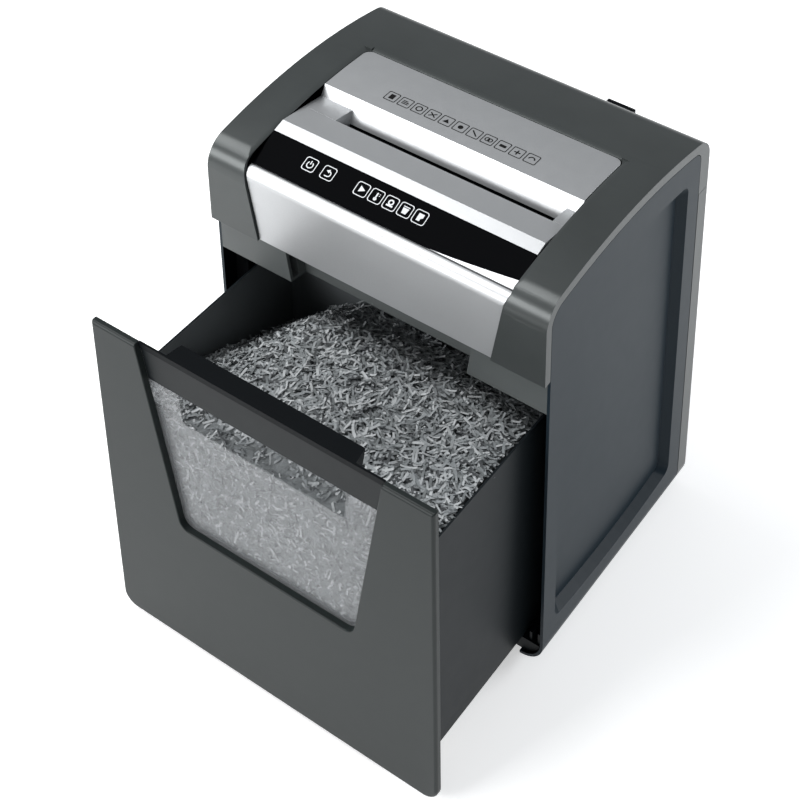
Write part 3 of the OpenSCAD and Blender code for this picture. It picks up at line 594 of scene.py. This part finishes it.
def warm_glyph():
    return [
        disc(0, -2.6, 1.7),
        bar(0, -2.4, 0, 3.6, 1.5),
        bar(2, 1.2, 3.2, 1.2, 0.6),
        bar(2, 2.8, 3.2, 2.8, 0.6),
    ]


def drawer_glyph():
    return [
        fill((-3.4, -3.4), (3.4, -3.4), (3.4, -1.8), (-3.4, -1.8)),
        arc_band(0, 0.8, 2.2, 1.4, 0, 360),
    ]


def bin_glyph():
    return [fill((-2.2, -3.6), (2.2, -3.6), (3.1, 2.0), (-3.1, 2.0)), bar(-3.3, 3.2, 3.3, 3.2, 0.9)]


def sheet_glyph():
    return [fill((-2.6, -3.6), (1.0, -3.6), (1.0, -1.2), (3.0, 0.2), (3.0, 3.6), (-2.6, 3.6))]


def framed(centres, drawings, frame_shape):
    """Each drawing in a frame, with the place of its centre along the row."""
    glyphs = []
    for x, drawing in zip(centres, drawings):
        glyphs.append((frame_shape, x))
        glyphs.extend((g, x) for g in drawing)
    return glyphs


def printed(name, glyphs, place, material):
    """Flat print of glyphs; place maps glyph coordinates in millimetres onto the surface."""
    verts = []
    faces = []
    for (points, polygons), centre in glyphs:
        first = len(verts)
        verts.extend(place(centre + px, py) for px, py in points)
        faces.extend(tuple(first + i for i in f) for f in polygons)
    mesh = bpy.data.meshes.new(name)
    mesh.from_pydata(verts, [], faces)
    mesh.validate()
    return piece(name, mesh, "cabinet", [material])


def on_panel(x, v):
    """Point just over the control panel: v runs up the panel from its middle line."""
    lower, upper = Vector((14.4, 422.6)), Vector((47.8, 436.7))
    up = (upper - lower).normalized()
    outward = Vector((-up.y, up.x))
    middle_line, lift = 0.59, 0.12
    y, z = lower + (upper - lower) * middle_line + up * v + outward * lift
    return in_cabinet(x, y, z)


def panel_icons():
    centres = (-90, -69.4, -32, -16.2, -0.5, 15.2, 31)
    drawings = [
        power_glyph(),
        back_glyph(),
        forward_glyph(),
        warm_glyph(),
        drawer_glyph(),
        bin_glyph(),
        sheet_glyph(),
    ]
    glyphs = framed(centres, drawings, frame_glyph(13.6, 0.75, 2.6))
    printed("panel_icons", glyphs, on_panel, ICON_WHITE)


def on_rear_deck(x, v):
    """Point just over the rear deck, which follows the arch of the top."""
    arch_y, arch_radius = 136, 606
    row_y, below_top = 142, 2.05
    y = row_y + v
    drop = arch_radius - math.sqrt(arch_radius**2 - (y - arch_y) ** 2)
    return in_cabinet(x, y, BODY_HEIGHT - drop - below_top)


def pictograms():
    """A row of framed, neutral signs for what the machine takes."""
    first, pitch = -79, 15.4
    drawings = [
        [fill((-2.6, -3.4), (2.6, -3.4), (2.6, 3.4), (-2.6, 3.4))],
        [bar(-3.6, -2, 3.6, -2, 1), bar(-3.6, 0, 3.6, 0, 1), bar(-3.6, 2, 1.6, 2, 1)],
        [arc_band(0, 0, 3.0, 1.2, 0, 360)],
        [bar(-3.4, -2.6, 3.4, 2.6, 1.2), bar(-3.4, 2.6, 3.4, -2.6, 1.2)],
        [fill((-3.4, -2.2), (3.4, -2.2), (0, 2.8))],
        [disc(0, 0, 2.6)],
        [bar(-3.4, 3.0, 3.4, -3.0, 1.3)],
        [arc_band(-1.4, 0, 2.2, 1.0, 0, 360), arc_band(1.6, 0, 2.2, 1.0, 0, 360)],
        [fill((-3.4, -1.6), (3.4, -1.6), (3.4, 1.6), (-3.4, 1.6))],
        [bar(0, -3.2, 0, 3.2, 1.3), bar(-3.2, 0, 3.2, 0, 1.3)],
        [arc_band(0, -0.8, 3.0, 1.2, 0, 180)],
    ]
    centres = [first + pitch * i for i in range(len(drawings))]
    glyphs = framed(centres, drawings, frame_glyph(13.0, 0.8, 1.6))
    printed("deck_pictograms", glyphs, on_rear_deck, ICON_DARK)


panel_icons()
pictograms()


# Studio ------------------------------------------------------------------------------------


def floor():
    """A white floor that glows a little, so that it comes out white in the picture."""
    mesh = bpy.data.meshes.new("floor")
    half = 12
    corners = [(-half, -half, 0), (half, -half, 0), (half, half, 0), (-half, half, 0)]
    mesh.from_pydata(corners, [], [(0, 1, 2, 3)])
    obj = bpy.data.objects.new("floor", mesh)
    bpy.context.scene.collection.objects.link(obj)
    n = Nodes("floor")
    n.put(base_color=(0.93, 0.93, 0.93, 1), roughness=0.9, specular_ior_level=0.1)
    n.put(emission_color=(1, 1, 1, 1), emission_strength=0.48)
    mesh.materials.append(n.material)


def softbox(name, at, target, size, power, colour=(1, 1, 1)):
    light = bpy.data.lights.new(name, "AREA")
    light.shape = "RECTANGLE"
    light.size, light.size_y = size
    light.energy = power
    light.color = colour
    obj = bpy.data.objects.new(name, light)
    bpy.context.scene.collection.objects.link(obj)
    obj.location = at
    obj.rotation_euler = (Vector(target) - Vector(at)).to_track_quat("-Z", "Y").to_euler()


def studio():
    world = bpy.data.worlds.new("studio")
    bpy.context.scene.world = world
    world.use_nodes = True
    background = world.node_tree.nodes["Background"]
    background.inputs["Color"].default_value = (0.94, 0.97, 1.0, 1)
    background.inputs["Strength"].default_value = 0.34
    cool = (0.94, 0.97, 1.0)
    softbox("overhead", (-0.95, -0.35, 2.1), (0, 0, 0.45), (1.2, 1.2), 32)
    softbox("front_left", (-1.0, -1.9, 1.15), (0, 0, 0.35), (1.3, 0.8), 38)
    softbox("back_right", (1.5, 1.45, 1.05), (0, 0, 0.4), (1.2, 0.5), 22, cool)
    bpy.context.scene.view_settings.view_transform = "Standard"


def camera():
    """Seen from the front right and above, as a long lens with a falling front shows it."""
    data = bpy.data.cameras.new("camera")
    data.sensor_width = 36
    data.lens = 89.04
    data.shift_x = -0.0778
    data.shift_y = -0.7517
    obj = bpy.data.objects.new("camera", data)
    bpy.context.scene.collection.objects.link(obj)
    obj.location = in_cabinet(805.1, -1011.4, 1586.7)
    obj.rotation_euler = (math.radians(90 - 29.68), 0, math.radians(34.92))
    bpy.context.scene.camera = obj


floor()
studio()
camera()
